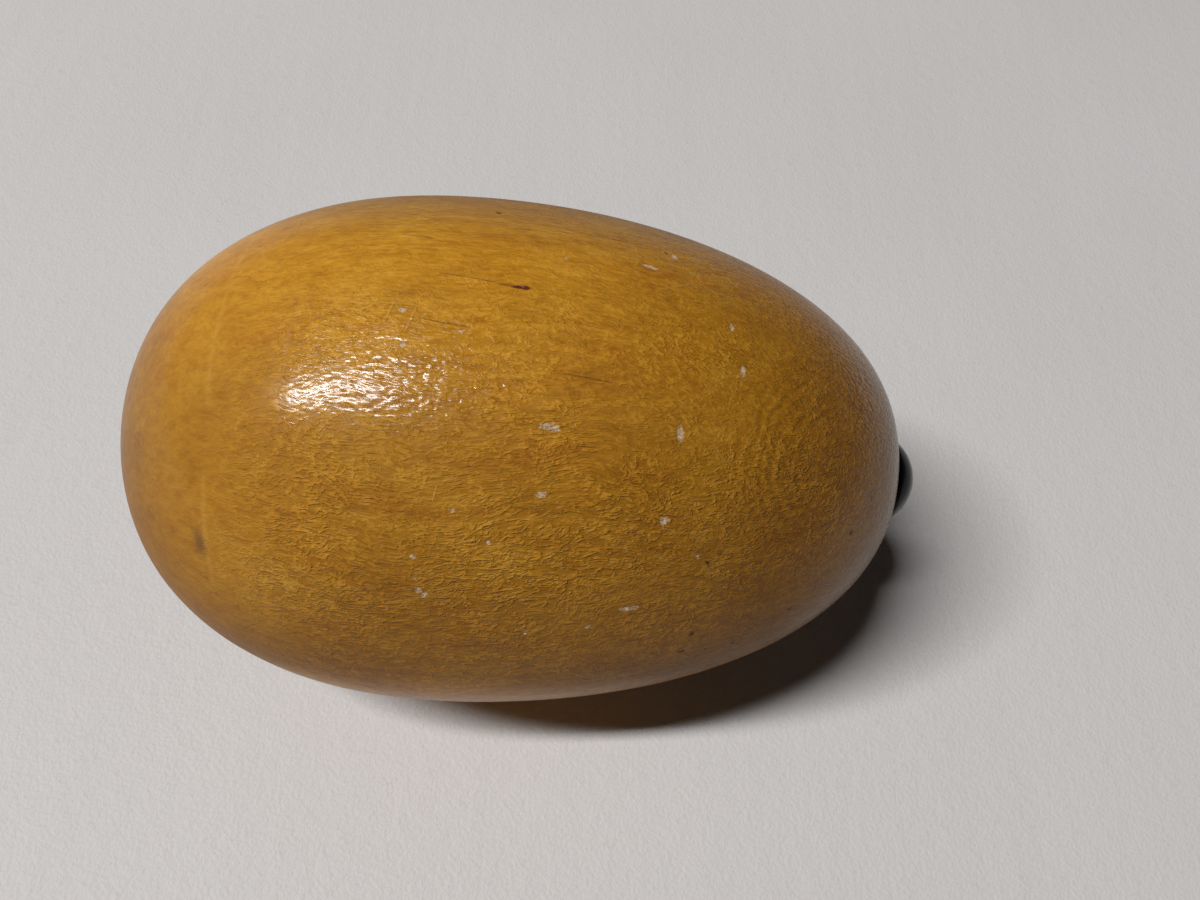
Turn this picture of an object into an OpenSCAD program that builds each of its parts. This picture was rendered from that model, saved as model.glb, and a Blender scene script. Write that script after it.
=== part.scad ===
// Darning egg: a solid turned hardwood egg with a needle well bored in from
// its narrow end, closed by a black domed stopper that pulls straight out.
//
// Frame: +X runs along the lathe axis to the narrow end, +Z is up, and the
// egg lies on its side on the plane Z = 0, on a shallow flat under its widest
// ring. The origin is under the middle of the whole length, stopper head
// included.

/* [Egg body] */
// Largest diameter of the egg
egg_d = 49; // [44:0.5:58]
// Length of the wooden egg from end to end
egg_len = 74; // [72:0.5:86]
// Distance from the blunt end to the widest ring
blunt_len = 32.1; // [28:0.1:36]
// Fullness of the blunt half near its widest ring
blunt_p = 2.29; // [1.9:0.01:2.6]
// Fullness of the blunt half near its end
blunt_q = 2.29; // [2:0.01:2.6]
// Fullness of the narrow half near its widest ring
tip_p = 1.92; // [1.8:0.01:2.4]
// Fullness of the narrow half near its end
tip_q = 2.40; // [2:0.01:2.6]
// Depth of the flat under the belly, on which the egg lies
rest_flat = 0.2; // [0.15:0.05:0.3]

/* [Needle well] */
// Diameter of the drilled well
well_d = 6.5; // [5.6:0.1:7]
// Depth of the well from the stopper's seat to its full-width end
well_depth = 59; // [40:1:60]
// Angle of the drill point at the bottom of the well
drill_point = 118; // [90:1:140]
// How far the drilled well wanders sideways off the lathe axis
well_off = -0.9; // [-1:0.1:1]
// Width of the chamfer round the well's mouth
mouth_chamfer = 0.4; // [0.2:0.1:0.6]
// Diameter of the flat seat faced into the narrow end
seat_d = 9.2; // [9:0.1:10]
// How deep the seat is cut below the very tip of the wood
seat_depth = 0.5; // [0.4:0.05:0.8]

/* [Stopper] */
// Diameter of the domed head
head_d = 8.8; // [8:0.1:8.9]
// Height of the head from its flat underside to the top of the dome
head_h = 3.05; // [2.6:0.05:4]
// Height of the upright rim under the dome
head_rim = 0.45; // [0.35:0.05:0.8]
// Gap between the head's underside and its seat
head_gap = 0.05; // [0.02:0.01:0.1]
// Diameter of the peg's spigot, cemented into the head
spigot_d = 3.2; // [2.6:0.1:3.6]
// Length of the spigot inside the head
spigot_len = 1.6; // [1.2:0.1:1.8]
// Diameter of the peg where it carries the cork
peg_d = 4; // [3.2:0.1:4.2]
// Diameter of the two collars that hold the cork in place
collar_d = 5.8; // [5:0.1:5.9]
// Thickness of each collar
collar_t = 0.9; // [0.7:0.1:1.2]
// Length of the cork sleeve
cork_len = 9.5; // [7:0.5:11]
// Gap between the cork and the wall of the well
cork_clear = 0.05; // [0.02:0.01:0.1]
// Glue line between the pieces of the stopper
glue_line = 0.02; // [0.01:0.01:0.05]

/* [Hidden] */

$fn = 96;
steps = 30;                                  // points along each half's profile
tip_len = egg_len - blunt_len;               // widest ring to narrow end
seat_x = egg_len - seat_depth;               // seat plane, from the blunt end
under_x = seat_x + head_gap;                 // underside of the head
total_len = under_x + head_h;                // blunt end to top of the dome
x_blunt = -total_len / 2;                    // blunt end in the part's frame
axis_z = egg_d / 2 - rest_flat;              // height of the lathe axis
dome_h = head_h - head_rim;
dome_r = (pow(head_d / 2, 2) + pow(dome_h, 2)) / (2 * dome_h);
well_r = well_d / 2;
cone_h = well_r / tan(drill_point / 2);
peg_len = 2 * collar_t + cork_len + 2 * glue_line;   // below the head
cork_r = well_r - cork_clear;

// Radius of the egg at a fraction t (0 widest ring, 1 end) of one half
function half_r(t, p, q) = egg_d / 2 * pow(max(0, 1 - pow(t, p)), 1 / q);

// Profile of the egg as [radius, distance from the blunt end]. The points
// crowd towards both ends, where the curve turns fastest.
function spread(i) = sin(90 * i / steps);
blunt_half = [for (i = [0 : steps])
    [half_r(spread(steps - i), blunt_p, blunt_q),
     blunt_len * (1 - spread(steps - i))]];
tip_half = [for (i = [1 : steps])
    [half_r(spread(i), tip_p, tip_q), blunt_len + tip_len * spread(i)]];
egg_profile = concat(blunt_half, tip_half);

// Turns a shape drawn along +Z onto the lathe axis, with Z = 0 at the blunt end
module on_axis() {
    translate([x_blunt, 0, axis_z]) rotate([0, 90, 0]) children();
}

// The same, on the axis of the well
module on_well() {
    translate([x_blunt, well_off, axis_z]) rotate([0, 90, 0]) children();
}

// One piece of turned, varnished hardwood with the blind well in it
module egg_body() {
    color([0.66, 0.45, 0.13])
    difference() {
        on_axis() rotate_extrude() polygon(egg_profile);
        // shallow flat under the belly
        translate([x_blunt, -egg_d / 2, -3]) cube([egg_len, egg_d, 3]);
        // flat seat for the head
        on_well() translate([0, 0, seat_x]) cylinder(h = 3, d = seat_d);
        // needle well with its drill point
        on_well() translate([0, 0, seat_x - well_depth])
            cylinder(h = well_depth + 1, r = well_r);
        on_well() translate([0, 0, seat_x - well_depth - cone_h])
            cylinder(h = cone_h, r1 = 0, r2 = well_r);
        // chamfered mouth
        on_well() translate([0, 0, seat_x - mouth_chamfer])
            cylinder(h = mouth_chamfer + 0.01,
                     r1 = well_r, r2 = well_r + mouth_chamfer + 0.01);
    }
}

// Section of the head: flat underside, eased rim, dome
module head_section() {
    ease = 0.2;
    lift = head_rim - dome_r + dome_h;       // height of the dome's centre
    a0 = asin((head_rim - lift) / dome_r);
    polygon(concat(
        [[0, 0], [head_d / 2 - ease, 0], [head_d / 2, ease]],
        [for (i = [0 : 14]) let (a = a0 + (90 - a0) * i / 14)
            [i == 14 ? 0 : dome_r * cos(a), lift + dome_r * sin(a)]]));
}

// Glossy black domed head with a blind hole for the peg
module stopper_head() {
    color([0.05, 0.05, 0.06])
    difference() {
        on_well() translate([0, 0, under_x]) rotate_extrude() head_section();
        on_well() translate([0, 0, under_x - 1])
            cylinder(h = spigot_len + glue_line + 1,
                     d = spigot_d + 2 * glue_line);
    }
}

// Turned wooden peg: spigot, upper collar, shank under the cork, end collar
module stopper_peg() {
    lower = 0.35;                            // bevel round the inner end
    color("burlywood")
    on_well() translate([0, 0, under_x - glue_line]) rotate_extrude()
        polygon([
            [0, -peg_len], [collar_d / 2 - lower, -peg_len],
            [collar_d / 2, -peg_len + lower],
            [collar_d / 2, -peg_len + collar_t], [peg_d / 2, -peg_len + collar_t],
            [peg_d / 2, -collar_t], [collar_d / 2, -collar_t],
            [collar_d / 2, 0], [spigot_d / 2, 0],
            [spigot_d / 2, spigot_len], [0, spigot_len]]);
}

// Cork sleeve that grips the wall of the well
module stopper_cork() {
    bevel = 0.25;
    top = under_x - collar_t - 2 * glue_line;
    color([0.71, 0.54, 0.35])
    on_well() translate([0, 0, top]) rotate_extrude()
        polygon([
            [peg_d / 2 + glue_line, 0], [cork_r - bevel, 0], [cork_r, -bevel],
            [cork_r, -cork_len + bevel], [cork_r - bevel, -cork_len],
            [peg_d / 2 + glue_line, -cork_len]]);
}

egg_body();
stopper_head();
stopper_peg();
stopper_cork();
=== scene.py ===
"""Looks of the darning egg: a varnished turned-wood egg lying on a pale floor,
with a needle well in its narrow end closed by a black domed stopper."""
import math

import bpy
import numpy as np
from mathutils import Matrix, Vector, noise


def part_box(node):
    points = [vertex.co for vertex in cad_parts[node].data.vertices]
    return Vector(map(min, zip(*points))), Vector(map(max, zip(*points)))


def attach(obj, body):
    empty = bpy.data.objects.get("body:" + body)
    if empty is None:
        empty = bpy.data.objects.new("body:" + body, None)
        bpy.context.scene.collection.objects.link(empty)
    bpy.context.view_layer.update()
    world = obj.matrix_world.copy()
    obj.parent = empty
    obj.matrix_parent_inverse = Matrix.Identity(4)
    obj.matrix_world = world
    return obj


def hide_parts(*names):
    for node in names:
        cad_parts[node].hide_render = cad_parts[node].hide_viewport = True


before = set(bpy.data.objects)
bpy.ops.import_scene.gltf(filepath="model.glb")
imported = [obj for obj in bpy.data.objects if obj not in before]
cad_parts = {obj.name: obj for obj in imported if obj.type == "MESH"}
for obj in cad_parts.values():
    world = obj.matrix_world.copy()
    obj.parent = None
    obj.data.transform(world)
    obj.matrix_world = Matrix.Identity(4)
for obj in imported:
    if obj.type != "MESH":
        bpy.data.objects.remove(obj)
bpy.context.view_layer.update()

MM = 0.001
body_lo, body_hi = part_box("egg_body")
head_lo, head_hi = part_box("stopper_head")
peg_lo, peg_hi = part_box("stopper_peg")
cork_lo, cork_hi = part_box("stopper_cork")

# ------------------------------------------------------------------ the egg
R = 24.5
AXIS_Z = body_hi.z / MM - R                   # 24.3, over the flat it lies on
X0 = body_lo.x / MM                           # blunt end
BLUNT, TIP = 32.1, 41.9                       # widest ring to either end
P1, Q1, P2, Q2 = 2.29, 2.29, 1.92, 2.40
X_WIDE = X0 + BLUNT
WELL_Y = -0.9
SEAT_X = X0 + 73.5
SEAT_R, WELL_R, CHAMFER, WELL_DEPTH = 4.6, 3.25, 0.4, 59.0
UNDER_X = SEAT_X + 0.05


def egg_r(s):
    """Radius in mm at s mm from the widest ring, + towards the narrow end."""
    s = np.asarray(s, float)
    t = np.clip(np.where(s < 0, -s / BLUNT, s / TIP), 0, 1)
    p = np.where(s < 0, P1, P2)
    q = np.where(s < 0, Q1, Q2)
    return R * np.clip(1 - t ** p, 0, 1) ** (1 / q)


def tip_s(r):
    """Distance in mm from the widest ring at which the narrow half has radius r."""
    r = np.asarray(r, float)
    return TIP * np.clip(1 - (r / R) ** Q2, 0, 1) ** (1 / P2)


# --------------------------------------------------------------- the camera
# The image plane's scale and the egg's place in front of the camera, from an
# outline fit: x to the right, y down, z forward, in mm.
FOCAL = 960.0
W, H = 1200.0, 900.0
ELEV = math.radians(60)
turn, lean = math.radians(3.03), math.radians(3.0)
d = Vector((math.cos(turn) * math.cos(lean), math.sin(turn) * math.cos(lean),
            math.sin(lean)))
centre = Vector((-12.62, -0.09, 96.15))
up = Vector((0, -math.cos(ELEV), -math.sin(ELEV)))
zc = (up - d * up.dot(d)).normalized()
yc = zc.cross(d)
# columns: the frame's X, Y, Z seen in the camera's own directions
to_cam = Matrix((d, yc, zc)).transposed()
ring = Vector((X_WIDE, 0, AXIS_Z))
eye = ring - to_cam.transposed() @ centre
right = to_cam.transposed() @ Vector((1, 0, 0))
down = to_cam.transposed() @ Vector((0, 1, 0))
ahead = to_cam.transposed() @ Vector((0, 0, 1))

cam_data = bpy.data.cameras.new("camera")
cam = bpy.data.objects.new("camera", cam_data)
bpy.context.scene.collection.objects.link(cam)
cam_data.sensor_fit = "HORIZONTAL"
cam_data.sensor_width = 36.0
cam_data.lens = 36.0 * FOCAL / W
cam_data.clip_start = 0.005
cam_data.clip_end = 20.0
cam_data.dof.use_dof = False
rot = Matrix((right, -down, -ahead)).transposed().to_4x4()
cam.matrix_world = Matrix.Translation(eye * MM) @ rot
bpy.context.scene.camera = cam


def on_egg(u, v):
    """The point of the egg's surface, in mm from the axis at the widest ring,
    that a place in the photograph's 1200 x 900 frame looks at."""
    ray = (to_cam.transposed() @ Vector(((u - W / 2) / FOCAL,
                                         (v - H / 2) / FOCAL, 1))).normalized()
    start = np.array(eye - ring)
    ray = np.array(ray)
    lo = None
    for t in np.arange(40, 150, 0.25):
        p = start + ray * t
        if -BLUNT < p[0] < TIP and math.hypot(p[1], p[2]) < egg_r(p[0]):
            lo = t
            break
    if lo is None:
        raise RuntimeError(f"({u}, {v}) misses the egg")
    a, b = lo - 0.25, lo
    for _ in range(30):
        m = (a + b) / 2
        p = start + ray * m
        if -BLUNT < p[0] < TIP and math.hypot(p[1], p[2]) < egg_r(p[0]):
            b = m
        else:
            a = m
    return Vector(start + ray * b)


# ------------------------------------------------------------- node helpers
class Nodes:
    """Short calls for building a material's node tree."""

    def __init__(self, name):
        self.mat = bpy.data.materials.new(name)
        self.mat.use_nodes = True
        self.t = self.mat.node_tree
        self.t.nodes.clear()
        self.out = self.t.nodes.new("ShaderNodeOutputMaterial")
        self.bsdf = self.t.nodes.new("ShaderNodeBsdfPrincipled")
        self.t.links.new(self.bsdf.outputs[0], self.out.inputs["Surface"])

    def put(self, socket, value):
        if hasattr(value, "is_linked"):
            self.t.links.new(value, socket)
        elif value is not None:
            socket.default_value = value

    def coords(self):
        """Object coordinates in mm, with the origin on the lathe axis at the widest ring."""
        tc = self.t.nodes.new("ShaderNodeTexCoord")
        return self.vec("MULTIPLY_ADD", tc.outputs["Object"], (1000, 1000, 1000),
                        (-X_WIDE, 0, -AXIS_Z))

    def vec(self, op, a, b=None, c=None):
        n = self.t.nodes.new("ShaderNodeVectorMath")
        n.operation = op
        self.put(n.inputs[0], a)
        if b is not None:
            if op == "SCALE":
                self.put(n.inputs["Scale"], b)
            else:
                self.put(n.inputs[1], b)
        if c is not None:
            self.put(n.inputs[2], c)
        return n.outputs["Value"] if op in ("LENGTH", "DOT_PRODUCT", "DISTANCE") else n.outputs[0]

    def math(self, op, a, b=None, c=None, clamp=False):
        n = self.t.nodes.new("ShaderNodeMath")
        n.operation = op
        n.use_clamp = clamp
        for i, x in enumerate((a, b, c)):
            if x is not None:
                self.put(n.inputs[i], x)
        return n.outputs[0]

    def noise(self, vector, scale, detail=2.0, rough=0.5, distortion=0.0, out="Factor"):
        n = self.t.nodes.new("ShaderNodeTexNoise")
        n.noise_dimensions = "3D"
        self.put(n.inputs["Vector"], vector)
        n.inputs["Scale"].default_value = scale
        n.inputs["Detail"].default_value = detail
        n.inputs["Roughness"].default_value = rough
        n.inputs["Distortion"].default_value = distortion
        return n.outputs[0] if out == "Factor" else n.outputs[1]

    def voronoi(self, vector, scale, feature="F1", randomness=1.0, out="Distance"):
        n = self.t.nodes.new("ShaderNodeTexVoronoi")
        n.feature = feature
        self.put(n.inputs["Vector"], vector)
        n.inputs["Scale"].default_value = scale
        n.inputs["Randomness"].default_value = randomness
        return n.outputs[out]

    def map(self, x, a, b, c=0.0, d=1.0, smooth=True):
        n = self.t.nodes.new("ShaderNodeMapRange")
        n.interpolation_type = "SMOOTHSTEP" if smooth else "LINEAR"
        self.put(n.inputs["Value"], x)
        for k, val in (("From Min", a), ("From Max", b), ("To Min", c), ("To Max", d)):
            self.put(n.inputs[k], val)
        return n.outputs[0]

    def mix(self, fac, a, b, blend="MIX"):
        n = self.t.nodes.new("ShaderNodeMix")
        n.data_type = "RGBA"
        n.blend_type = blend
        self.put(n.inputs[0], fac)
        self.put(n.inputs[6], a if hasattr(a, "is_linked") else (*a, 1))
        self.put(n.inputs[7], b if hasattr(b, "is_linked") else (*b, 1))
        return n.outputs[2]

    def sep(self, v):
        n = self.t.nodes.new("ShaderNodeSeparateXYZ")
        self.put(n.inputs[0], v)
        return n.outputs

    def join(self, x, y, z):
        n = self.t.nodes.new("ShaderNodeCombineXYZ")
        for i, a in enumerate((x, y, z)):
            self.put(n.inputs[i], a)
        return n.outputs[0]

    def ramp(self, x, stops):
        n = self.t.nodes.new("ShaderNodeValToRGB")
        self.put(n.inputs[0], x)
        e = n.color_ramp.elements
        while len(e) < len(stops):
            e.new(0.5)
        for i, (pos, col) in enumerate(stops):
            e[i].position = pos
            e[i].color = (*col, 1)
        return n.outputs[0]

    def bump(self, height_mm, strength=1.0, normal=None):
        n = self.t.nodes.new("ShaderNodeBump")
        n.inputs["Strength"].default_value = strength
        n.inputs["Distance"].default_value = MM
        self.put(n.inputs["Height"], height_mm)
        if normal is not None:
            self.put(n.inputs["Normal"], normal)
        return n.outputs[0]

    def least(self, p, marks):
        """The smallest of each mark's own distance: 1 on its edge, 0 at its middle."""
        best = None
        for at, size in marks:
            s = Vector((1 / size[0], 1 / size[1], 1 / size[1]))
            x = self.vec("MULTIPLY_ADD", p, tuple(s),
                         tuple(-at[i] * s[i] for i in range(3)))
            x = self.vec("LENGTH", x)
            best = x if best is None else self.math("MINIMUM", best, x)
        return best


    def stroke(self, p, a, b, half):
        """1 along the straight scratch from a to b, 0 beyond half mm from it."""
        ab = b - a
        t = self.math("DIVIDE", self.vec("DOT_PRODUCT", self.vec("SUBTRACT", p, tuple(a)), tuple(ab)),
                      ab.length_squared, clamp=True)
        foot = self.vec("MULTIPLY_ADD", self.vec("SCALE", tuple(ab), t), (1, 1, 1), tuple(a))
        away = self.vec("DISTANCE", p, foot)
        taper = self.map(self.math("ABSOLUTE", self.math("SUBTRACT", t, 0.5)), 0.25, 0.5, half, 0.35 * half)
        return self.map(self.math("DIVIDE", away, taper), 0.35, 1.0, 1.0, 0.0)


# ----------------------------------------------------- marks on the surface
# (u, v) in the photograph's frame; (half length along the axis, half width
# round the egg) in mm.
CHIPS = [((648, 265.5), (0.62, 0.26)), ((654, 268), (0.5, 0.3)),
         ((674.5, 256.8), (0.42, 0.45)), ((732, 327), (0.24, 0.5)),
         ((743, 371), (0.3, 0.62)), ((547, 426.5), (0.7, 0.32)),
         ((555, 428), (0.5, 0.36)), ((680.6, 433.8), (0.34, 0.75)),
         ((541, 495), (0.5, 0.3)), ((664.5, 521.3), (0.44, 0.44)),
         ((626, 609.5), (0.62, 0.34)), ((633.5, 608), (0.42, 0.34)),
         ((412.5, 557.6), (0.3, 0.24)), ((418, 591), (0.4, 0.3)),
         ((424, 595), (0.36, 0.26)), ((414.8, 579.3), (0.18, 0.16)),
         ((488, 543), (0.26, 0.24)), ((402.3, 310), (0.34, 0.28)),
         ((402.8, 344.7), (0.3, 0.26)), ((697.4, 557.5), (0.26, 0.2)),
         ((587.7, 627.4), (0.34, 0.2)), ((566.8, 258.4), (0.2, 0.16)),
         ((452, 510.8), (0.22, 0.26)), ((524.7, 634), (0.26, 0.18)),
         ((460, 330.5), (0.5, 0.16))]
PITS = [((499, 212), (0.3, 0.35)), ((692, 634), (0.3, 0.34)),
        ((682.3, 651.6), (0.34, 0.3)), ((705.6, 649), (0.2, 0.2)),
        ((733, 643), (0.3, 0.3)), ((851.8, 532.8), (0.3, 0.34)),
        ((790.6, 609.6), (0.36, 0.26)), ((872, 498.5), (0.2, 0.3)),
        ((666, 253), (0.22, 0.2)), ((708, 563.5), (0.3, 0.24))]
chips = [(on_egg(*uv), s) for uv, s in CHIPS]
pits = [(on_egg(*uv), s) for uv, s in PITS]
tick = on_egg(522.3, 287)
# thin scratches: both ends, half width in mm, and whether the varnish is lifted
SCRATCHES = [((432, 271), (506, 283.6), 0.055, False), ((497, 282.6), (525, 287.2), 0.20, False), ((417, 317), (474, 328), 0.10, False),
             ((418, 303), (404, 334), 0.15, True), ((396, 298), (386, 319), 0.12, True),
             ((588, 232), (640, 246), 0.10, False), ((655, 290), (694, 284), 0.11, True),
             ((432, 504), (438, 482), 0.10, True), ((556, 372), (620, 384), 0.08, False)]
scratches = [(on_egg(*a), on_egg(*b), w, up_) for a, b, w, up_ in SCRATCHES]
stain = on_egg(199.5, 543)
stain2 = on_egg(137.5, 452)
swirl = on_egg(838, 468)
rings = [on_egg(206, 400).x, on_egg(282.5, 400).x, on_egg(750, 315).x]


# ------------------------------------------------------------------ meshes
def grid_mesh(name, rows, close_start=None, close_end=None):
    """A closed tube of rings, each an array of n points, with a point at either end."""
    n = len(rows[0])
    verts = np.concatenate(rows)
    count = len(verts)
    extra = []
    faces = []
    j = np.arange(n)
    k = (j + 1) % n
    for i in range(len(rows) - 1):
        a, b = i * n, (i + 1) * n
        faces.append(np.stack([a + j, a + k, b + k, b + j], 1))
    faces = np.concatenate(faces).tolist()
    if close_start is not None:
        extra.append(close_start)
        faces += [[int(count + len(extra) - 1), int(y), int(x)] for x, y in zip(j, k)]
    if close_end is not None:
        extra.append(close_end)
        last = (len(rows) - 1) * n
        faces += [[int(count + len(extra) - 1), int(last + x), int(last + y)]
                  for x, y in zip(j, k)]
    verts = np.concatenate([verts] + [np.array([e]) for e in extra]) * MM
    mesh = bpy.data.meshes.new(name)
    mesh.from_pydata(verts.tolist(), [], faces)
    mesh.validate()
    mesh.update()
    for p in mesh.polygons:
        p.use_smooth = True
    ob = bpy.data.objects.new(name, mesh)
    bpy.context.scene.collection.objects.link(ob)
    return ob


def lathe(name, profile, n, y=0.0, z=0.0, wobble=None):
    """Turns [(x, radius)] round a line along X at (y, z). A radius of 0 closes an end."""
    ang = np.linspace(0, 2 * math.pi, n, endpoint=False)
    rows, start, end = [], None, None
    for i, (x, r) in enumerate(profile):
        if r <= 1e-9:
            if i == 0:
                start = (x, y, z)
            else:
                end = (x, y, z)
            continue
        rr = np.full(n, float(r))
        xx = np.full(n, float(x))
        if wobble is not None:
            rr, xx = wobble(xx, rr, ang)
        rows.append(np.stack([xx, y + rr * np.cos(ang), z + rr * np.sin(ang)], 1))
    return grid_mesh(name, rows, start, end)


def fbm(p, scale, octaves=3):
    total, amp = 0.0, 1.0
    for _ in range(octaves):
        total += amp * noise.noise(p * scale)
        scale *= 2.07
        amp *= 0.5
    return total


def build_body():
    n = 480
    ang = np.linspace(0, 2 * math.pi, n, endpoint=False)
    cy, cz = np.cos(ang), np.sin(ang)
    # arc length along the profile gives evenly spaced rings
    s = np.concatenate([-BLUNT * np.sin(np.linspace(1, 0, 1500) * math.pi / 2),
                        TIP * np.sin(np.linspace(0, 1, 2000)[1:] * math.pi / 2)])
    r = egg_r(s)
    blend_r = 11.0                            # outer ring of the part that turns to the well
    s_end = float(tip_s(blend_r))
    keep = s <= s_end
    s, r = s[keep], r[keep]
    length = np.concatenate([[0], np.cumsum(np.hypot(np.diff(s), np.diff(r)))])
    first = 0.35
    at = np.linspace(first, length[-1], 156)
    rows = []
    for a in at:
        ss, rr = np.interp(a, length, s), np.interp(a, length, r)
        rows.append(np.stack([np.full(n, ss), rr * cy, rr * cz], 1))
    # rings that slide over from the lathe axis to the well's axis
    seat_s = SEAT_X - X_WIDE
    edge_r = R * (1 - (seat_s / TIP) ** P2) ** (1 / Q2)   # where wood meets the seat plane
    # distance from the well's axis to that circle along each direction
    b = WELL_Y * cy
    reach = -b + np.sqrt(np.maximum(b * b - (WELL_Y ** 2 - edge_r ** 2), 0))
    lens = np.minimum(SEAT_R, reach)
    steps = 18
    for i in range(1, steps + 1):
        t = i / steps
        ease = t * t * (3 - 2 * t)
        off = WELL_Y * ease
        rad = blend_r + (lens - blend_r) * t
        y, z = off + rad * cy, rad * cz
        x = tip_s(np.hypot(y, z))
        rows.append(np.stack([x, y, z], 1))
    outer = len(rows)
    # over the seat's edge, across the seat, and down the well
    rim = rows[-1].copy()
    for dx, dr in ((0.35, 0.03), (1.0, 0.06)):
        y, z = WELL_Y + (lens - dr) * cy, (lens - dr) * cz
        x = rim[:, 0] + (seat_s - rim[:, 0]) * dx
        rows.append(np.stack([x, y, z], 1))
    for rad in (4.4, 4.1, 3.85):
        rows.append(np.stack([np.full(n, seat_s), WELL_Y + rad * cy, rad * cz], 1))
    for dx, rad in ((0.0, WELL_R + CHAMFER + 0.05), (-0.05, WELL_R + CHAMFER - 0.02),
                    (-CHAMFER + 0.03, WELL_R + 0.03), (-CHAMFER - 0.08, WELL_R),
                    (-3, WELL_R), (-8, WELL_R), (-14, WELL_R), (-24, WELL_R),
                    (-36, WELL_R), (-48, WELL_R), (-58.6, WELL_R),
                    (-WELL_DEPTH - 0.15, WELL_R - 0.15), (-WELL_DEPTH - 1.0, 1.6)):
        rows.append(np.stack([np.full(n, seat_s + dx), WELL_Y + rad * cy, rad * cz], 1))
    # hand-turned surface: what the skew chisel and the sandpaper left
    for i in range(outer):
        p = rows[i]
        x, y, z = p.T
        rad = np.hypot(y, z)
        fade = np.clip((seat_s - 0.6 - x) / 3.0, 0, 1)
        drop = np.zeros(n)
        low = np.array([fbm(Vector((a * 0.06, b_ * 0.075, c * 0.075)), 1.0, 2)
                        for a, b_, c in p])
        fine = np.array([fbm(Vector((a * 0.16, b_ * 0.95, c * 0.95)), 1.0, 2)
                         for a, b_, c in p])
        drop += 0.075 * np.clip(0.5 - low * 0.6, 0, 1.2)
        drop += 0.011 * np.clip(0.5 - fine, 0, 1.2)
        for k, (pos, deep, wide) in enumerate(((rings[0], 0.006, 0.5), (rings[1], 0.008, 0.35),
                                               (rings[2], 0.010, 0.4), (-29.2, 0.03, 0.7),
                                               (-6.5, 0.008, 0.4), (22.0, 0.012, 0.5))):
            arc = 0.6 + 0.4 * np.cos(ang * (1 + k % 2) + 1.7 * k)
            drop += deep * arc * np.exp(-((x[0] - pos) / wide) ** 2)
        for at_, (la, lb) in chips + pits:
            q = np.sqrt(((x - at_.x) / la) ** 2 + ((y - at_.y) / lb) ** 2 + ((z - at_.z) / lb) ** 2)
            drop += 0.05 * np.clip(1.25 - q, 0, 1)
        drop *= fade
        k = 1 - drop / np.maximum(rad, 1.0)
        p[:, 1] *= k
        p[:, 2] *= k
    # place in the part's frame
    for p in rows:
        p[:, 0] += X_WIDE
        p[:, 2] = np.maximum(p[:, 2] + AXIS_Z, 0)
    start = (X0 + 0.004, 0, AXIS_Z)
    end = (SEAT_X - WELL_DEPTH - WELL_R / math.tan(math.radians(59)), WELL_Y, AXIS_Z)
    ob = grid_mesh("egg_body_turned", rows, start, end)
    # faces from the seat's edge inwards are bare wood
    first_bare = outer * n
    idx = np.zeros(len(ob.data.polygons), np.int32)
    idx[(outer - 1) * n:(len(rows) - 1) * n] = 1
    idx[len(ob.data.polygons) - n:] = 1
    ob.data.materials.append(None)
    ob.data.materials.append(None)
    ob.data.polygons.foreach_set("material_index", idx)
    return ob


body = build_body()


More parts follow.
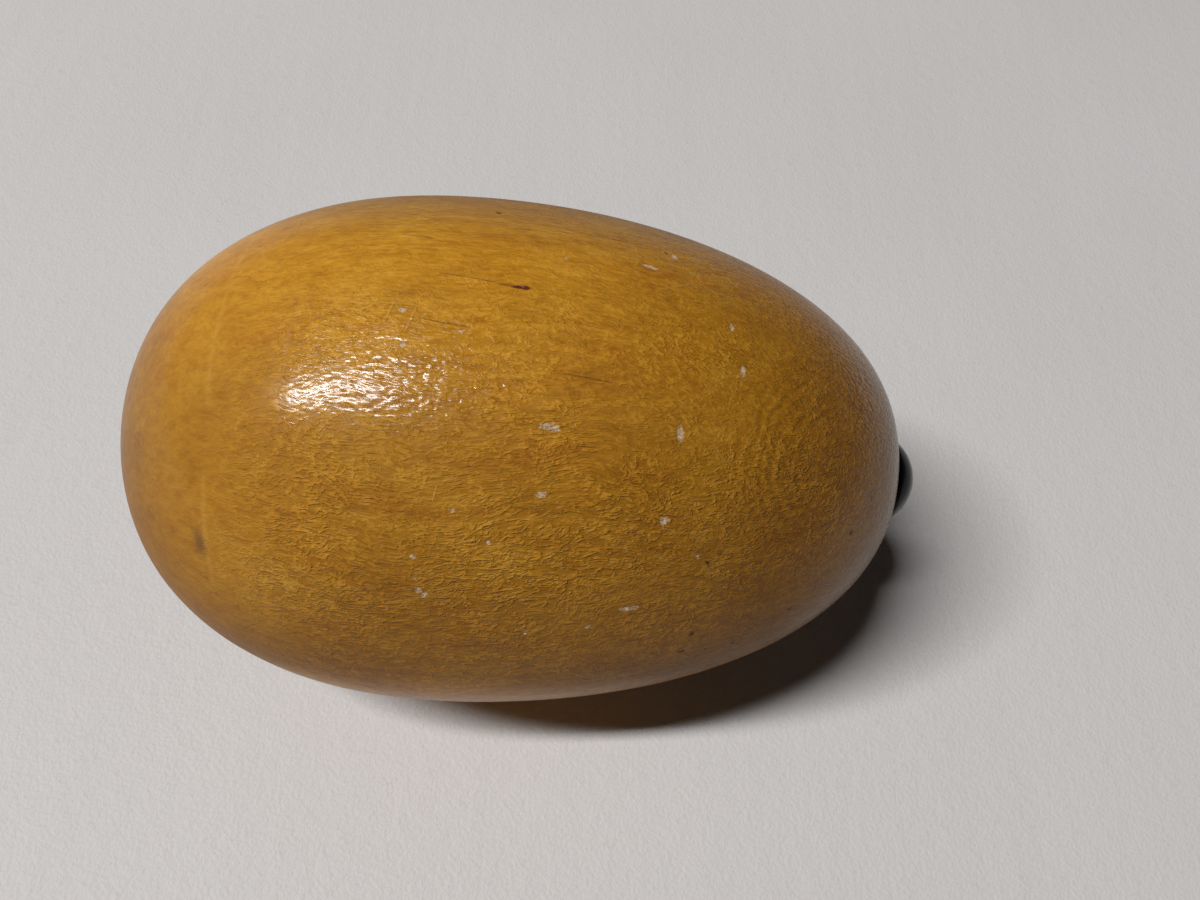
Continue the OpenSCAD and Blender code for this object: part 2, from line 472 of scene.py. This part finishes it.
# --------------------------------------------------------------- materials
def varnished_wood():
    m = Nodes("amber_varnished_wood")
    p = m.coords()
    x = m.sep(p)[0]
    # how far round the egg from its brightest flank to its darkest, in mm
    q = m.vec("DOT_PRODUCT", p, (0.0, -0.866, -0.5))
    # slow wander of the grain
    slow = m.noise(p, 0.07, 2, 0.5, out="Color")
    wander = m.vec("SUBTRACT", slow, (0.5, 0.5, 0.5))
    pw = m.vec("ADD", p, m.vec("MULTIPLY", wander, (5.0, 3.4, 3.4)))
    # round the swirl near the narrow end the fibres bend into arcs
    sd = m.vec("LENGTH", m.vec("SUBTRACT", pw, tuple(swirl)))
    near = m.math("MULTIPLY", m.map(sd, 11.5, 8.0), m.map(sd, 2.5, 5.0))
    near = m.math("MULTIPLY", near, m.map(x, swirl.x + 1.0, swirl.x - 2.5))
    arcs = m.math("SINE", m.math("ADD", m.math("MULTIPLY", sd, 5.6), m.math(
        "MULTIPLY", m.noise(p, 0.4, 2, 0.5), 11.0)))
    arcs = m.math("MULTIPLY", arcs, near)

    # colour: fibre, streaks and mottle
    streak = m.noise(m.vec("MULTIPLY", pw, (0.10, 0.95, 0.95)), 1.0, 5, 0.68)
    fibre = m.noise(m.vec("MULTIPLY", pw, (0.42, 3.6, 3.6)), 1.0, 2, 0.6)
    cloud = m.noise(p, 0.085, 3, 0.55)
    mottle = m.noise(m.vec("MULTIPLY", pw, (0.75, 1.1, 1.1)), 1.0, 4, 0.70)
    tone = m.math("MULTIPLY_ADD", m.math("SUBTRACT", streak, 0.5), 0.42, 0.5)
    for part, gain in ((fibre, 0.17), (cloud, 0.38), (mottle, 0.33)):
        tone = m.math("MULTIPLY_ADD", m.math("SUBTRACT", part, 0.5), gain, tone)
    tone = m.math("MULTIPLY_ADD", arcs, 0.028, tone)
    colour = m.ramp(tone, [(0.30, (0.430, 0.170, 0.0062)), (0.43, (0.535, 0.230, 0.0092)),
                           (0.52, (0.615, 0.280, 0.0135)), (0.62, (0.69, 0.335, 0.023)),
                           (0.78, (0.77, 0.40, 0.044))])
    # the colour darkens towards the narrow end, the very blunt end and the lower flank: partly deeper
    # varnish, partly painted shade
    flank_varnish_and_shade = m.map(m.math("MULTIPLY_ADD", m.sep(wander)[2], 14.0, q), -23.0, 23.0, 1.0, 0.36,
                  smooth=False)
    ends = m.math("MULTIPLY", m.map(x, 2.0, 36.0, 1.0, 0.49, smooth=False),
                  m.map(x, -32.0, -22.0, 0.66, 1.0))
    depth_and_shade = m.math("MULTIPLY", flank_varnish_and_shade, ends)
    depth_and_shade_tint = m.ramp(depth_and_shade, [(0.0, (0.24, 0.20, 0.13)), (0.35, (0.385, 0.345, 0.25)),
                          (0.6, (0.61, 0.585, 0.50)), (1.0, (1.0, 1.0, 1.0))])
    colour = m.mix(1.0, colour, depth_and_shade_tint, "MULTIPLY")
    # painted light and shade: the top rim is darkened, and the bottom rim lightened as if lit from the
    # floor
    painted_top_rim_shade = m.map(q, -24.5, -15.5, 0.50, 1.0)
    painted_floor_bounce = m.map(q, 18.5, 24.0, 1.0, 2.1)
    shade = m.math("MULTIPLY", painted_top_rim_shade, painted_floor_bounce)
    # painted shade: a band half way round from the brightest flank to the darkest, along the blunt half, is
    # made 10 % darker
    band = m.math("MULTIPLY", m.map(m.math("ABSOLUTE", m.math("SUBTRACT", q, -1.0)), 2.0, 9.0, 1.0, 0.0),
                  m.map(x, -4.0, 12.0, 1.0, 0.0))
    shade = m.math("MULTIPLY", shade, m.math("MULTIPLY_ADD", band, -0.10, 1.0))
    colour = m.mix(1.0, colour, m.join(shade, shade, shade), "MULTIPLY")
    # reddish wood under the varnish in long streaks
    red = m.noise(m.vec("MULTIPLY", pw, (0.06, 0.42, 0.42)), 1.0, 4, 0.62)
    colour = m.mix(m.map(red, 0.50, 0.68, 0.0, 0.34), colour,
                   m.mix(1.0, colour, (0.90, 0.74, 0.60), "MULTIPLY"))
    # thin dark grain lines
    line_n = m.noise(m.vec("MULTIPLY", pw, (0.07, 1.3, 1.3)), 1.0, 2, 0.45)
    line = m.map(m.math("ABSOLUTE", m.math("SUBTRACT", line_n, 0.5)), 0.0, 0.018, 1.0, 0.0)
    line = m.math("MULTIPLY", line, m.map(m.noise(p, 0.17, 2, 0.5), 0.53, 0.68))
    colour = m.mix(m.math("MULTIPLY", line, 0.46), colour, (0.16, 0.055, 0.004))
    # faint rings left by the lathe
    for k, (pos, gain) in enumerate(((rings[0], 0.09), (rings[1], -0.06), (rings[2], -0.10),
                                     (-28.9, -0.10), (14.0, 0.05))):
        band = m.map(m.math("ABSOLUTE", m.math("SUBTRACT", m.math(
            "MULTIPLY_ADD", m.sep(wander)[1], 0.8, x), pos)), 0.0, 0.42, 1.0, 0.0)
        band = m.math("MULTIPLY", band, m.map(m.noise(p, 0.11 + 0.01 * k, 1, 0.5), 0.42, 0.6))
        target = (0.72, 0.40, 0.075) if gain > 0 else (0.20, 0.08, 0.006)
        colour = m.mix(m.math("MULTIPLY", band, abs(gain) * 1.6), colour, target)

    # raised grain and crazed varnish: short thin ridges, each from 0 to 1
    coarse = m.map(x, -23.0, -8.0, 0.08, 1.0)
    upper = m.map(q, -21.0, 1.0, 0.30, 1.0)
    patch = m.map(m.noise(p, 0.12, 2, 0.5), 0.36, 0.60, 0.55, 1.0)
    bend = m.vec("SUBTRACT", m.noise(p, 0.22, 2, 0.5, out="Color"), (0.5, 0.5, 0.5))
    pb = m.vec("MULTIPLY_ADD", bend, (2.4, 1.5, 1.5), pw)
    breaks = m.noise(p, 1.3, 1, 0.5, out="Color")

    def ridge(v, level, half, keep, detail=2):
        n = m.noise(v, 1.0, detail, 0.55)
        thin = m.map(m.math("ABSOLUTE", m.math("SUBTRACT", n, level)), 0.0, half, 1.0, 0.0)
        return m.math("MULTIPLY", thin, keep)

    def leaning(k, sx=0.55, sy=1.22):
        return m.vec("ADD", m.vec("MULTIPLY", pb, (sx, sy, sy)),
                     m.join(0.0, m.math("MULTIPLY", x, 0.87 * k), m.math("MULTIPLY", x, 0.5 * k)))

    ridges = ridge(m.vec("MULTIPLY", pb, (0.29, 1.5, 1.5)), 0.50, 0.080,
                   m.map(m.sep(breaks)[0], 0.42, 0.54, 0.25, 1.0), 2)
    for k, level, channel, part in ((0.42, 0.52, 1, 1), (-0.50, 0.47, 2, 0)):
        keep = m.math("MULTIPLY", m.map(m.sep(breaks)[channel], 0.43, 0.54),
                      m.map(m.sep(slow)[part], 0.42, 0.54))
        ridges = m.math("MAXIMUM", ridges, ridge(leaning(k), level, 0.066, keep))
    keep = m.math("MULTIPLY", m.map(m.sep(breaks)[1], 0.50, 0.58, 0.0, 0.8),
                  m.map(m.sep(slow)[2], 0.46, 0.58))
    ridges = m.math("MAXIMUM", ridges, ridge(leaning(1.5), 0.5, 0.055, keep))
    threads = ridge(m.vec("MULTIPLY", pb, (0.70, 3.1, 3.1)), 0.5, 0.095,
                    m.map(m.sep(breaks)[2], 0.38, 0.56, 0.3, 1.0), 1)
    strong = m.math("MULTIPLY", m.math("MULTIPLY", coarse, upper), patch)
    ridges = m.math("MULTIPLY", ridges, strong)
    threads = m.math("MULTIPLY", threads, m.math("MULTIPLY_ADD", strong, 0.85, 0.15))
    fine = m.noise(m.vec("MULTIPLY", pb, (0.75, 3.6, 3.6)), 1.0, 2, 0.55)
    # darker fine strokes where the fine noise is high, fewer on the ridges
    dark_fine_strokes = m.math("MULTIPLY", m.map(m.math("MULTIPLY_ADD", ridges, -0.22, fine), 0.42, 0.64),
                   m.math("MULTIPLY_ADD", coarse, 0.22, 0.14))
    flecks = m.noise(m.vec("MULTIPLY", pb, (0.95, 2.5, 2.5)), 1.0, 1, 0.55)
    flecks = m.math("MULTIPLY", m.map(flecks, 0.58, 0.70), m.math("MULTIPLY_ADD", strong, 0.88, 0.12))
    colour = m.mix(dark_fine_strokes, colour, m.mix(1.0, colour, (0.60, 0.52, 0.36), "MULTIPLY"))
    # painted highlight: the ridges, threads and flecks are made lighter and whiter, as where they catch the
    # lamp
    raised = m.math("MAXIMUM", ridges, m.math("MULTIPLY", threads, 0.6))
    raised = m.math("MAXIMUM", raised, m.math("MULTIPLY", flecks, 0.45))
    colour = m.mix(m.math("MULTIPLY", raised, 0.92), colour,
                   m.mix(1.0, colour, (1.42, 1.50, 2.3), "MULTIPLY"))

    # ragged marks
    rag = m.vec("SUBTRACT", m.noise(p, 3.4, 3, 0.65, out="Color"), (0.5, 0.5, 0.5))
    pr = m.vec("MULTIPLY_ADD", rag, (0.75, 0.75, 0.75), p)
    chip_d = m.least(pr, chips)
    chip = m.map(chip_d, 0.40, 1.10, 1.0, 0.0)
    halo = m.map(m.math("ABSOLUTE", m.math("SUBTRACT", chip_d, 1.15)), 0.0, 0.2, 1.0, 0.0)
    pit_d = m.least(pr, pits)
    pit = m.map(pit_d, 0.5, 1.0, 1.0, 0.0)
    # more of both on the sides that the photograph doesn't show
    cell = m.voronoi(pr, 0.105)
    seed_r, seed_g, _ = m.sep(m.voronoi(pr, 0.105, out="Color"))
    hidden = m.map(m.vec("DOT_PRODUCT", p, (0.0, 0.75, -0.66)), 1.0, 6.0)
    size = m.map(seed_r, 0.0, 1.0, 0.03, 0.07, smooth=False)
    far = m.map(m.math("DIVIDE", cell, size), 0.65, 1.0, 1.0, 0.0)
    far = m.math("MULTIPLY", far, hidden)
    chip = m.math("MAXIMUM", chip, m.math("MULTIPLY", far, m.math("LESS_THAN", seed_g, 0.42)))
    pit = m.math("MAXIMUM", pit, m.math("MULTIPLY", far, m.math("GREATER_THAN", seed_g, 0.8)))

    scuff = m.noise(p, 4.5, 2, 0.6)
    chip_tone = m.mix(m.map(scuff, 0.35, 0.65), (0.44, 0.30, 0.165), (0.70, 0.575, 0.43))
    colour = m.mix(m.math("MULTIPLY", halo, 0.3), colour, (0.20, 0.085, 0.006))
    colour = m.mix(m.math("MULTIPLY", chip, 0.8), colour, chip_tone)
    colour = m.mix(m.math("MULTIPLY", pit, 0.85), colour, (0.035, 0.014, 0.006))
    # a short dark splinter mark with a thin tail
    tick_d = m.least(p, [(tick, (0.90, 0.19)), (tick + Vector((0.30, 0, 0)), (0.45, 0.27))])
    cut = lift = None
    for a, b, half, raised in scratches:
        line = m.stroke(p, a, b, half)
        if raised:
            lift = line if lift is None else m.math("MAXIMUM", lift, line)
        else:
            cut = line if cut is None else m.math("MAXIMUM", cut, line)
    colour = m.mix(m.math("MULTIPLY", cut, 0.5), colour, (0.14, 0.040, 0.006))
    colour = m.mix(m.math("MULTIPLY", lift, 0.16), colour, (0.80, 0.52, 0.16))
    colour = m.mix(m.map(tick_d, 0.6, 1.15, 0.92, 0.0), colour, (0.095, 0.010, 0.006))
    # soft stains
    sp = m.vec("MULTIPLY_ADD", rag, (1.3, 1.3, 1.3), p)
    stain_d = m.least(sp, [(stain, (0.75, 1.5))])
    colour = m.mix(m.map(stain_d, 0.1, 1.3, 0.66, 0.0), colour, (0.105, 0.040, 0.016))
    stain2_d = m.least(sp, [(stain2, (0.9, 1.7))])
    colour = m.mix(m.map(stain2_d, 0.0, 1.4, 0.3, 0.0), colour, (0.16, 0.06, 0.02))
    m.put(m.bsdf.inputs["Base Color"], colour)

    # relief in mm: the wood's own under the varnish, and the varnish's skin
    marks = m.math("MULTIPLY_ADD", pit, -0.08, m.math("MULTIPLY", chip, -0.03))
    marks = m.math("MULTIPLY_ADD", m.map(tick_d, 0.6, 1.1, 1.0, 0.0), -0.04, marks)
    marks = m.math("MULTIPLY_ADD", cut, -0.04, marks)
    marks = m.math("MULTIPLY_ADD", lift, 0.03, marks)
    grain = m.math("MULTIPLY_ADD", ridges, 0.080, marks)
    grain = m.math("MULTIPLY_ADD", threads, 0.046, grain)
    grain = m.math("MULTIPLY_ADD", flecks, 0.020, grain)
    grain = m.math("MULTIPLY_ADD", fine, m.math("MULTIPLY_ADD", coarse, 0.032, 0.012), grain)
    grain = m.math("MULTIPLY_ADD", arcs, 0.022, grain)
    m.put(m.bsdf.inputs["Normal"], m.bump(grain, 1.0))
    # the varnish is smooth on the blunt side of one lathe ring, pebbled past it,
    # in long cells at first and in short ones towards the middle
    waver = m.math("MULTIPLY_ADD", m.sep(wander)[1], 3.0, x)
    long_cells = m.noise(m.vec("MULTIPLY", pw, (0.62, 2.4, 2.4)), 1.0, 1, 0.6)
    skin = m.math("MULTIPLY_ADD", long_cells,
                  m.map(waver, rings[1] - 1.6, rings[1] + 0.4, 0.010, 0.030), marks)
    short_cells = m.noise(m.vec("MULTIPLY", pw, (1.7, 2.7, 2.7)), 1.0, 0, 0.5)
    skin = m.math("MULTIPLY_ADD", short_cells, m.math("MULTIPLY", m.map(waver, -14.0, -2.0, 0.0, 0.092),
                                                  m.map(q, -6.0, 1.0, 1.0, 0.40)), skin)
    skin = m.math("MULTIPLY_ADD", ridges, 0.005, skin)
    skin = m.math("MULTIPLY_ADD", arcs, 0.003, skin)
    m.put(m.bsdf.inputs["Coat Normal"], m.bump(skin, 1.0))
    # handling has dulled the flanks more than the back that takes the light
    worn = m.math("MULTIPLY", m.map(x, -3.0, 10.0, 1.0, 0.0),
                  m.map(x, rings[1] - 2.5, rings[1] + 1.5))
    level = m.math("MULTIPLY", m.map(q, -5.5, 0.5, 1.0, 0.0), m.map(q, -13.5, -8.0))
    level = m.math("MULTIPLY", level, worn)
    m.put(m.bsdf.inputs["Roughness"], m.math("MULTIPLY_ADD", level, -0.34, 0.62))
    m.bsdf.inputs["Specular IOR Level"].default_value = 0.21
    gloss = m.math("MULTIPLY", m.map(q, -24.0, -18.0, 0.12, 0.38), m.map(q, -4.0, 12.0, 1.0, 0.26))
    gloss = m.math("ADD", gloss, m.map(q, 18.5, 24.0, 0.0, 0.40))
    gloss = m.math("ADD", gloss, m.map(x, 27.0, 36.5, 0.0, 0.34), clamp=True)
    m.put(m.bsdf.inputs["Coat Weight"], m.math("MULTIPLY", gloss,
                                               m.math("MULTIPLY_ADD", chip, -0.7, 1.0)))
    m.bsdf.inputs["Coat Roughness"].default_value = 0.15
    m.bsdf.inputs["Coat IOR"].default_value = 1.5
    return m.mat


def bare_wood(name, light, dark):
    m = Nodes(name)
    p = m.coords()
    long = m.noise(m.vec("MULTIPLY", p, (0.25, 2.2, 2.2)), 1.0, 4, 0.6)
    fine = m.noise(m.vec("MULTIPLY", p, (1.2, 9.0, 9.0)), 1.0, 2, 0.6)
    colour = m.mix(m.map(long, 0.3, 0.7), dark, light)
    colour = m.mix(m.map(fine, 0.55, 0.75, 0.0, 0.35), colour, tuple(0.5 * c for c in dark))
    m.put(m.bsdf.inputs["Base Color"], colour)
    x = m.sep(p)[0]
    tool = m.math("SINE", m.math("MULTIPLY", x, 14.0))
    relief = m.math("MULTIPLY_ADD", tool, 0.006, m.math("MULTIPLY", fine, 0.02))
    m.put(m.bsdf.inputs["Normal"], m.bump(relief, 1.0))
    m.put(m.bsdf.inputs["Roughness"], m.map(long, 0.3, 0.7, 0.62, 0.78))
    m.bsdf.inputs["Specular IOR Level"].default_value = 0.3
    return m.mat


def black_gloss():
    m = Nodes("polished_black")
    p = m.coords()
    dust = m.noise(p, 2.4, 4, 0.65)
    smear = m.noise(m.vec("MULTIPLY", p, (0.6, 1.4, 0.5)), 0.8, 3, 0.55)
    colour = m.mix(m.map(dust, 0.6, 0.8, 0.0, 0.5), (0.0022, 0.0022, 0.0026), (0.016, 0.016, 0.018))
    m.put(m.bsdf.inputs["Base Color"], colour)
    m.put(m.bsdf.inputs["Roughness"], m.map(smear, 0.3, 0.75, 0.07, 0.2))
    fine = m.noise(p, 1.1, 2, 0.5)
    scratch = m.noise(m.vec("MULTIPLY", p, (0.4, 7.0, 1.2)), 1.0, 2, 0.5)
    scratch = m.map(m.math("ABSOLUTE", m.math("SUBTRACT", scratch, 0.5)), 0.0, 0.02, 1.0, 0.0)
    relief = m.math("MULTIPLY_ADD", scratch, -0.0012, m.math("MULTIPLY", fine, 0.012))
    m.put(m.bsdf.inputs["Normal"], m.bump(relief, 1.0))
    m.bsdf.inputs["Specular IOR Level"].default_value = 0.10
    return m.mat


def cork_bark():
    m = Nodes("natural_cork")
    p = m.coords()
    grain = m.voronoi(p, 1.5, out="Color")
    g = m.sep(grain)[0]
    cells = m.noise(p, 1.1, 4, 0.65)
    colour = m.mix(m.map(cells, 0.3, 0.72), (0.30, 0.165, 0.075), (0.56, 0.37, 0.20))
    colour = m.mix(m.math("MULTIPLY", g, 0.25), colour, (0.42, 0.25, 0.12))
    hole = m.noise(m.vec("MULTIPLY", p, (1.0, 1.0, 1.9)), 1.3, 3, 0.6)
    hole = m.map(hole, 0.62, 0.7)
    colour = m.mix(hole, colour, (0.085, 0.038, 0.017))
    m.put(m.bsdf.inputs["Base Color"], colour)
    relief = m.math("MULTIPLY_ADD", hole, -0.10, m.math("MULTIPLY", m.noise(p, 5.0, 3, 0.6), 0.03))
    m.put(m.bsdf.inputs["Normal"], m.bump(relief, 1.0))
    m.bsdf.inputs["Roughness"].default_value = 0.85
    m.bsdf.inputs["Specular IOR Level"].default_value = 0.25
    return m.mat


body.data.materials[0] = varnished_wood()
body.data.materials[1] = bare_wood("well_wood", (0.50, 0.30, 0.13), (0.33, 0.17, 0.06))
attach(body, "egg")
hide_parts("egg_body")

# -------------------------------------------------------------- the stopper
HEAD_R, HEAD_H, RIM = 4.29, 2.94, 0.45
DOME = HEAD_H - RIM
DOME_R = (HEAD_R ** 2 + DOME ** 2) / (2 * DOME)
SPIGOT_R = 1.62


def head_profile():
    lift = HEAD_H - DOME_R
    pts = [(0, SPIGOT_R), (0, 2.6), (0, 3.5), (0, 3.85), (0.006, 3.98)]
    for a in np.linspace(0, 90, 7)[1:]:
        pts.append((0.2 - 0.2 * math.cos(math.radians(a)) + 0.006,
                    4.02 + 0.27 * math.sin(math.radians(a))))
    a0 = math.asin((RIM - lift) / DOME_R)
    pts.append((0.34, HEAD_R - 0.004))
    soft = 0.10
    for k, a in enumerate(np.linspace(a0, math.pi / 2, 34)):
        r = DOME_R * math.cos(a)
        x = lift + DOME_R * math.sin(a)
        if k == 0:
            r, x = HEAD_R - 0.03, RIM + 0.02
        pts.append((x, 0.0 if k == 33 else r))
    inner = [(1.62, 0.0), (1.62, 1.2), (1.6, SPIGOT_R - 0.03), (1.5, SPIGOT_R), (0.4, SPIGOT_R)]
    return [(UNDER_X + x, r) for x, r in inner + pts]


head = lathe("stopper_head_domed", head_profile(), 128, WELL_Y, AXIS_Z)
head.data.materials.append(black_gloss())
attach(head, "stopper")
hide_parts("stopper_head")

PEG_END = peg_lo.x / MM
GLUE = 0.02
peg_len = 1.8 + 9.5 + 2 * GLUE


def peg_profile():
    t = UNDER_X - GLUE
    c, s, g = 2.9, 2.0, 1.6
    pts = [(-peg_len, 0.0), (-peg_len, 0.8), (-peg_len, 1.7), (-peg_len, 2.45),
           (-peg_len + 0.08, 2.62), (-peg_len + 0.25, c - 0.1), (-peg_len + 0.42, c),
           (-peg_len + 0.84, c), (-peg_len + 0.9, c - 0.06), (-peg_len + 0.9, s + 0.05),
           (-peg_len + 0.95, s), (-7, s), (-4, s), (-0.95, s), (-0.9, s + 0.05),
           (-0.9, c - 0.06), (-0.84, c), (-0.07, c), (0, c - 0.07), (0, 2.2),
           (0, g), (0.8, g), (1.5, g), (1.6, g - 0.1), (1.6, 0.8), (1.6, 0.0)]
    return [(t + x, r) for x, r in pts]


def peg_wobble(x, r, ang):
    k = 0.012 * (1 + np.sin(3 * ang + x * 1.3)) + 0.008 * (1 + np.sin(x * 9.0))
    return r - np.where(r > 1.0, k, 0), x


peg = lathe("stopper_peg_turned", peg_profile(), 96, WELL_Y, AXIS_Z, peg_wobble)
peg.data.materials.append(bare_wood("peg_wood", (0.60, 0.42, 0.23), (0.43, 0.26, 0.11)))
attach(peg, "stopper")
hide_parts("stopper_peg")


def build_cork():
    top = cork_hi.x / MM
    n, r_out, r_in, length = 144, 3.2, 2.02, 9.5
    prof = [(0, r_in), (0, 2.4), (0, 2.7), (-0.0, 2.9), (-0.08, 3.06), (-0.25, r_out)]
    prof += [(-0.25 - x, r_out) for x in np.linspace(0.2, length - 0.5 - 0.2, 38)]
    prof += [(-length + 0.25, r_out), (-length + 0.08, 3.06), (-length, 2.9), (-length, 2.7),
             (-length, 2.4), (-length, r_in)]
    prof += [(-length + 0.5, r_in), (-length / 2, r_in), (-0.5, r_in)]
    ang = np.linspace(0, 2 * math.pi, n, endpoint=False)
    rows = []
    for i, (x, r) in enumerate(prof):
        xx, rr = np.full(n, top + x), np.full(n, float(r))
        if 2.85 < r:
            for j, a in enumerate(ang):
                q = Vector((top + x, r * math.cos(a), r * math.sin(a)))
                pit_ = max(0.0, fbm(q, 0.85, 3) - 0.16)
                rr[j] -= min(0.34, 0.9 * pit_) + 0.03 * (1 + noise.noise(q * 3.1))
        rows.append(np.stack([xx, WELL_Y + rr * np.cos(ang), AXIS_Z + rr * np.sin(ang)], 1))
    rows.append(rows[0].copy())
    verts = np.concatenate(rows[:-1])
    m_ = len(rows) - 1
    j = np.arange(n)
    k = (j + 1) % n
    faces = []
    for i in range(m_):
        a, b = i * n, ((i + 1) % m_) * n
        faces.append(np.stack([a + j, b + j, b + k, a + k], 1))
    mesh = bpy.data.meshes.new("stopper_cork_sleeve")
    mesh.from_pydata((verts * MM).tolist(), [], np.concatenate(faces).tolist())
    mesh.validate()
    for p in mesh.polygons:
        p.use_smooth = True
    ob = bpy.data.objects.new("stopper_cork_sleeve", mesh)
    bpy.context.scene.collection.objects.link(ob)
    return ob


cork = build_cork()
cork.data.materials.append(cork_bark())
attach(cork, "stopper")
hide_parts("stopper_cork")

# ------------------------------------------------------- floor, light, world
def floor_material():
    m = Nodes("pale_floor")
    tc = m.t.nodes.new("ShaderNodeTexCoord")
    p = m.vec("SCALE", tc.outputs["Object"], 1000.0)
    speck = m.noise(p, 0.55, 3, 0.6)
    tooth = m.noise(p, 2.2, 2, 0.6)
    wide = m.noise(p, 0.02, 3, 0.5)
    brush = m.noise(m.vec("MULTIPLY", p, (0.35, 0.02, 0.1)), 1.0, 3, 0.55)
    colour = m.mix(m.map(wide, 0.3, 0.7), (0.596, 0.585, 0.573), (0.610, 0.600, 0.590))
    colour = m.mix(m.map(brush, 0.35, 0.7, 0.0, 0.22), colour, (0.640, 0.625, 0.610))
    colour = m.mix(m.map(speck, 0.60, 0.72, 0.0, 0.14), colour, (0.46, 0.42, 0.38))
    colour = m.mix(m.map(tooth, 0.35, 0.65, 0.0, 0.10), colour, (0.50, 0.48, 0.46))
    far = m.map(m.vec("LENGTH", p), 1300.0, 2700.0, 0.0, 0.62)
    colour = m.mix(far, colour, (0.10, 0.10, 0.10))
    m.put(m.bsdf.inputs["Base Color"], colour)
    relief = m.math("MULTIPLY_ADD", tooth, 0.05, m.math("MULTIPLY", speck, 0.10))
    m.put(m.bsdf.inputs["Normal"], m.bump(relief, 1.0))
    m.put(m.bsdf.inputs["Roughness"], m.map(wide, 0.3, 0.7, 0.55, 0.65))
    m.bsdf.inputs["Specular IOR Level"].default_value = 0.3
    return m.mat


def build_floor():
    """A pale floor that turns up into a round wall, so that no view meets a dark edge."""
    n = 96
    ang = np.linspace(0, 2 * math.pi, n, endpoint=False)
    prof = [(0.4, 0.0), (0.8, 0.0), (1.4, 0.0), (2.0, 0.0)]
    prof += [(2.0 + 0.9 * math.sin(a), 0.9 - 0.9 * math.cos(a))
             for a in np.linspace(0, math.pi / 2, 13)[1:]]
    prof += [(2.9, 1.3)]
    verts = [(0.0, 0.0, 0.0)]
    for r, z in prof:
        verts += [(r * math.cos(a), r * math.sin(a), z) for a in ang]
    faces = [(0, 1 + j, 1 + (j + 1) % n) for j in range(n)]
    for i in range(len(prof) - 1):
        a, b = 1 + i * n, 1 + (i + 1) * n
        faces += [(a + j, b + j, b + (j + 1) % n, a + (j + 1) % n) for j in range(n)]
    mesh = bpy.data.meshes.new("floor")
    mesh.from_pydata(verts, [], faces)
    mesh.update()
    for f in mesh.polygons:
        f.use_smooth = True
    ob = bpy.data.objects.new("floor", mesh)
    bpy.context.scene.collection.objects.link(ob)
    return ob


floor = build_floor()
floor.data.materials.append(floor_material())


def area(name, at, aim, size, turned, energy, colour):
    """A rectangular lamp facing aim, its long side turned by an angle from the X axis."""
    data = bpy.data.lights.new(name, "AREA")
    data.shape = "RECTANGLE"
    data.size, data.size_y = size
    data.energy = energy
    data.color = colour
    ob = bpy.data.objects.new(name, data)
    bpy.context.scene.collection.objects.link(ob)
    ob.location = at
    z = (Vector(at) - Vector(aim)).normalized()
    x = Vector((math.cos(turned), math.sin(turned), 0))
    y = z.cross(x).normalized()
    x = y.cross(z).normalized()
    ob.rotation_euler = Matrix((x, y, z)).transposed().to_euler()
    ob.visible_camera = False
    return ob


area("key", (-1.08, -0.225, 2.02), (0.0, 0.0, 0.02), (1.16, 0.13), math.radians(5),
     55.0, (1.0, 0.985, 0.985))

world = bpy.data.worlds.new("room")
bpy.context.scene.world = world
world.use_nodes = True
bg = world.node_tree.nodes["Background"]
bg.inputs["Color"].default_value = (0.95, 0.96, 1.0, 1)
bg.inputs["Strength"].default_value = 0.003

scene = bpy.context.scene
scene.view_settings.view_transform = "Standard"
scene.view_settings.look = "None"
scene.view_settings.exposure = 0.0
scene.view_settings.gamma = 1.0
